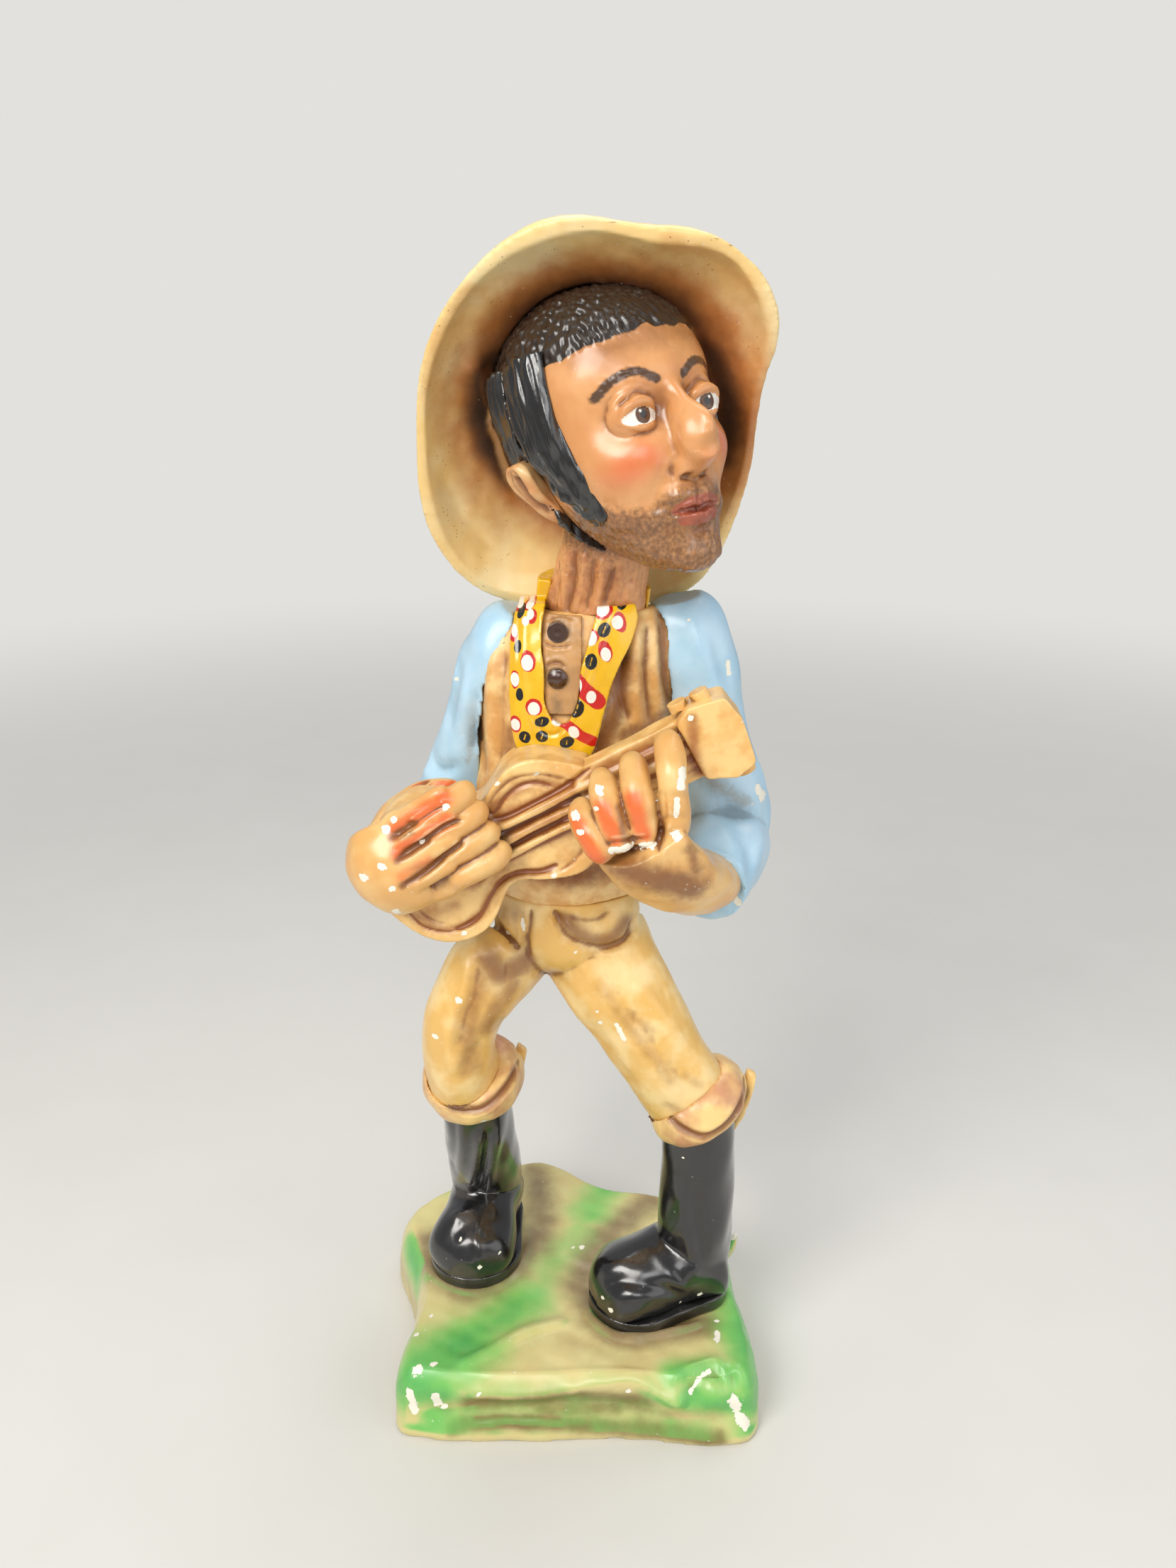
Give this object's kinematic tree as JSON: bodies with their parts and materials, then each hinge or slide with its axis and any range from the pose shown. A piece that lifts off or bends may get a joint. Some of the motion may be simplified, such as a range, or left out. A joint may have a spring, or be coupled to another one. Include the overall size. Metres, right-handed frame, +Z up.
{
  "type": "chalkware figure",
  "caption": "Painted plaster figure of a striding guitar player in a tilted-back wide-brimmed hat, on a flat slab, for standing on a shelf.",
  "frame": {"origin": "middle of the slab's flat underside", "axes": "+Z up, -Y towards the front of the figure, +X towards the figure's left side"},
  "size_m": [0.1424, 0.1287, 0.3987],
  "materials": {
    "steel_rod": "drawn mild steel, a little rusty",
    "ground_paint": "cast plaster, airbrushed cream, green and brown, with chips",
    "boot_paint": "cast plaster, gloss black paint",
    "trouser_paint": "cast plaster, cream paint with a brown wash in the folds",
    "vest_paint": "cast plaster, tan paint with a brown wash",
    "shirt_paint": "cast plaster, pale blue paint, chipped",
    "placket_paint": "cast plaster, orange-brown paint",
    "button_paint": "cast plaster, dark brown paint",
    "kerchief_paint": "cast plaster, yellow paint with red bars and black and white dots",
    "skin_paint": "cast plaster, orange-tan paint",
    "hair_paint": "cast plaster, gloss black paint",
    "hat_paint": "cast plaster, cream paint with a brown wash in the bowl",
    "guitar_paint": "cast plaster, cream paint with a brown wash in the grooves"
  },
  "bodies": {
    "root": {"back_hair": "hair_paint", "ground_base": "ground_paint", "guitar_body": "guitar_paint", "guitar_headstock": "guitar_paint", "guitar_neck": "guitar_paint", "guitar_neck_wire": "steel_rod", "guitar_strings": "guitar_paint", "hat_brim": "hat_paint", "hat_crown": "hat_paint", "head": "skin_paint", "left_arm_wire": "steel_rod", "left_boot": "boot_paint", "left_boot_pull_tab": "boot_paint", "left_boot_sole": "boot_paint", "left_ear": "skin_paint", "left_hand": "skin_paint", "left_leg_wire": "steel_rod", "left_lower_sleeve": "shirt_paint", "left_side_lock": "hair_paint", "left_trouser_cuff": "trouser_paint", "left_trouser_leg": "trouser_paint", "left_upper_sleeve": "shirt_paint", "neck": "skin_paint", "neck_wire": "steel_rod", "neckerchief": "kerchief_paint", "right_arm_wire": "steel_rod", "right_boot": "boot_paint", "right_boot_pull_tab": "boot_paint", "right_boot_sole": "boot_paint", "right_ear": "skin_paint", "right_hand": "skin_paint", "right_leg_wire": "steel_rod", "right_lower_sleeve": "shirt_paint", "right_side_lock": "hair_paint", "right_trouser_cuff": "trouser_paint", "right_trouser_leg": "trouser_paint", "right_upper_sleeve": "shirt_paint", "shirt_buttons": "button_paint", "shirt_placket": "placket_paint", "trouser_seat": "trouser_paint", "tuning_pegs": "guitar_paint", "vest": "vest_paint"}
  },
  "joints": []
}
